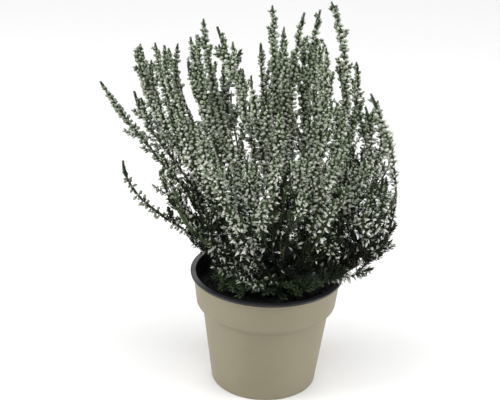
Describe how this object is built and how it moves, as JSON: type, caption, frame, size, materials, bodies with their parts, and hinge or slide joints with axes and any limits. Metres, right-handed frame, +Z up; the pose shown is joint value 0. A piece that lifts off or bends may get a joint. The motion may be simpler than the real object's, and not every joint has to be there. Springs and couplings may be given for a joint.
{
  "type": "potted heather",
  "caption": "Bud-blooming heather with upright spikes of white buds, in a taupe nursery pot with a black rolled rim, filled with peat.",
  "frame": {"origin": "centre of the pot's base, on the surface that it stands on", "axes": "+Z up, -Y towards the side that the camera sees, +X to the right of that view"},
  "size_m": [0.2255, 0.195, 0.3118],
  "materials": {
    "pot_taupe": "satin moulded plastic, taupe outside",
    "pot_black": "black plastic inside and on the rolled rim",
    "peat": "dark crumbly peat with fibres",
    "bark": "thin brown bark, greener towards the tips",
    "leaf": "dull dark green scale leaves",
    "bud": "closed white buds with green bases"
  },
  "bodies": {
    "root": {"pot": "pot_taupe", "peat_soil": "peat", "main_stem_01": "bark", "main_stem_02": "bark", "main_stem_03": "bark", "main_stem_04": "bark", "main_stem_05": "bark", "main_stem_06": "bark", "main_stem_07": "bark", "main_stem_08": "bark", "main_stem_09": "bark", "main_stem_10": "bark", "main_stem_11": "bark", "main_stem_12": "bark", "flower_shoot_01": "bud", "flower_shoot_02": "bud", "flower_shoot_03": "bud", "flower_shoot_04": "bud", "flower_shoot_05": "bud", "flower_shoot_06": "bud", "flower_shoot_07": "bud", "flower_shoot_08": "bud", "flower_shoot_09": "bud", "flower_shoot_10": "bud", "flower_shoot_11": "bud", "flower_shoot_12": "bud", "flower_shoot_13": "bud", "flower_shoot_14": "bud", "flower_shoot_15": "bud", "flower_shoot_16": "bud", "flower_shoot_17": "bud", "flower_shoot_18": "bud", "flower_shoot_19": "bud", "flower_shoot_20": "bud", "flower_shoot_21": "bud", "flower_shoot_22": "bud", "flower_shoot_23": "bud", "flower_shoot_24": "bud", "flower_shoot_25": "bud", "flower_shoot_26": "bud", "flower_shoot_27": "bud", "flower_shoot_28": "bud", "flower_shoot_29": "bud", "flower_shoot_30": "bud", "flower_shoot_31": "bud", "flower_shoot_32": "bud", "flower_shoot_33": "bud", "flower_shoot_34": "bud", "flower_shoot_35": "bud", "flower_shoot_36": "bud", "flower_shoot_37": "bud", "flower_shoot_38": "bud", "flower_shoot_39": "bud", "flower_shoot_40": "bud", "flower_shoot_41": "bud", "flower_shoot_42": "bud", "flower_shoot_43": "bud", "base_sprig_01": "leaf", "base_sprig_02": "leaf", "base_sprig_03": "leaf"}
  },
  "joints": []
}
